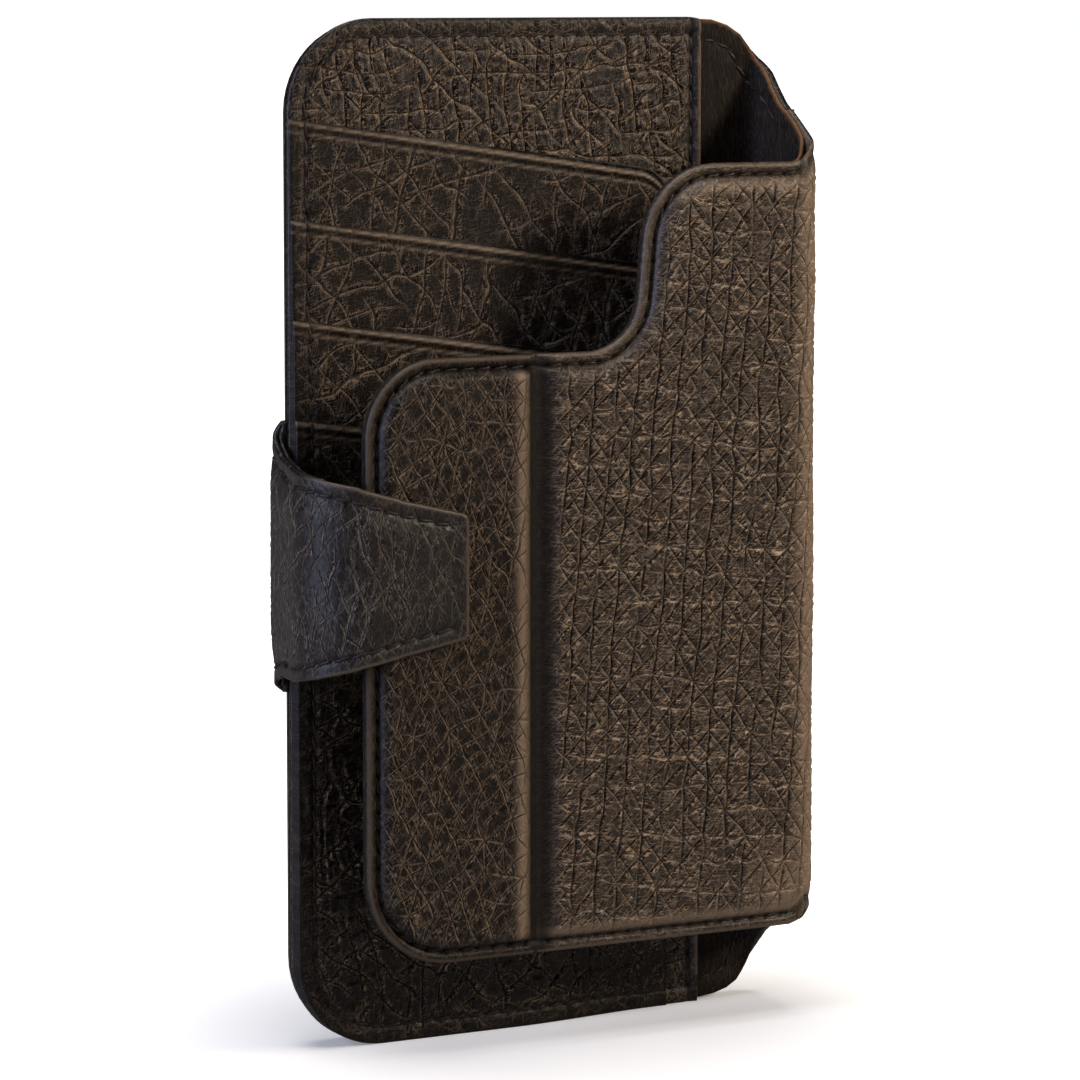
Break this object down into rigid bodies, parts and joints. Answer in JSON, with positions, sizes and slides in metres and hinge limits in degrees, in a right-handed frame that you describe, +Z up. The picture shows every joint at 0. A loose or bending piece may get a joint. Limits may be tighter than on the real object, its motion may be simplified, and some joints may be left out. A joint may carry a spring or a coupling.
{
  "type": "phone wallet case",
  "caption": "Book-style leather phone wallet with stepped card pockets on the rear cover, a folding two-part front flap and a magnetic closure strap.",
  "frame": {"origin": "middle of the closed case's box, at its bottom edge", "axes": "+Z up along the case's height, +Y from the front flap towards the rear cover's back, +X along the width from the strap towards the spine"},
  "size_m": [0.08, 0.022, 0.145],
  "materials": {
    "outer_leather": "pebbled, semi-matt",
    "pocket_leather": "pebbled, semi-matt",
    "strap_leather": "smooth, fine grain",
    "lining_leather": "smooth, satin",
    "stiffener": "matt",
    "steel": "plated",
    "grip_pad": "matt",
    "thread": "twisted, waxed"
  },
  "bodies": {
    "rear_cover": {"rear_cover_leather": "outer_leather", "rear_cover_board": "stiffener", "rear_lining": "lining_leather", "card_base_panel": "pocket_leather", "card_pocket_1": "pocket_leather", "card_pocket_2": "pocket_leather", "card_pocket_3": "pocket_leather", "card_pocket_4": "pocket_leather", "rear_edge_thread": "thread", "card_panel_seam_thread": "thread", "strap_root": "strap_leather", "rear_spine_fold": "outer_leather", "strap_root_fold": "strap_leather"},
    "spine": {"spine_leather": "outer_leather", "spine_lining": "lining_leather", "spine_flap_fold": "outer_leather"},
    "flap_wide": {"flap_wide_leather": "outer_leather", "flap_wide_board": "stiffener", "flap_wide_lining": "lining_leather", "phone_grip_pad": "grip_pad", "flap_wide_thread": "thread", "flap_groove_fold": "outer_leather"},
    "flap_narrow": {"flap_narrow_leather": "outer_leather", "flap_narrow_board": "stiffener", "closure_keeper_plate": "steel", "flap_narrow_lining": "lining_leather", "flap_narrow_thread": "thread"},
    "strap_side": {"strap_side_leather": "strap_leather", "strap_side_lining": "lining_leather", "strap_side_thread": "thread", "strap_tab_fold": "strap_leather"},
    "strap_tab": {"strap_tab_leather": "strap_leather", "strap_magnet": "steel", "strap_tab_lining": "lining_leather", "strap_tab_thread": "thread"}
  },
  "joints": [
    {"name": "spine_fold", "type": "hinge", "parent": "rear_cover", "child": "spine", "pos_m": [0.038, 0.00895, 0.0735], "axis": [0, 0, 1], "range_deg": [0, 180]},
    {"name": "flap_fold", "type": "hinge", "parent": "spine", "child": "flap_wide", "pos_m": [0.038, -0.00675, 0.069], "axis": [0, 0, 1], "range_deg": [0, 180]},
    {"name": "groove_fold", "type": "hinge", "parent": "flap_wide", "child": "flap_narrow", "pos_m": [-0.00585, -0.00665, 0.056], "axis": [0, 0, -1], "range_deg": [0, 20]},
    {"name": "strap_root_fold", "type": "hinge", "parent": "rear_cover", "child": "strap_side", "pos_m": [-0.0388, 0.00915, 0.0693], "axis": [0, 0, -1], "range_deg": [0, 120]},
    {"name": "strap_tab_fold", "type": "hinge", "parent": "strap_side", "child": "strap_tab", "pos_m": [-0.0388, -0.00975, 0.0693], "axis": [0, 0, -1], "range_deg": [0, 100]}
  ]
}
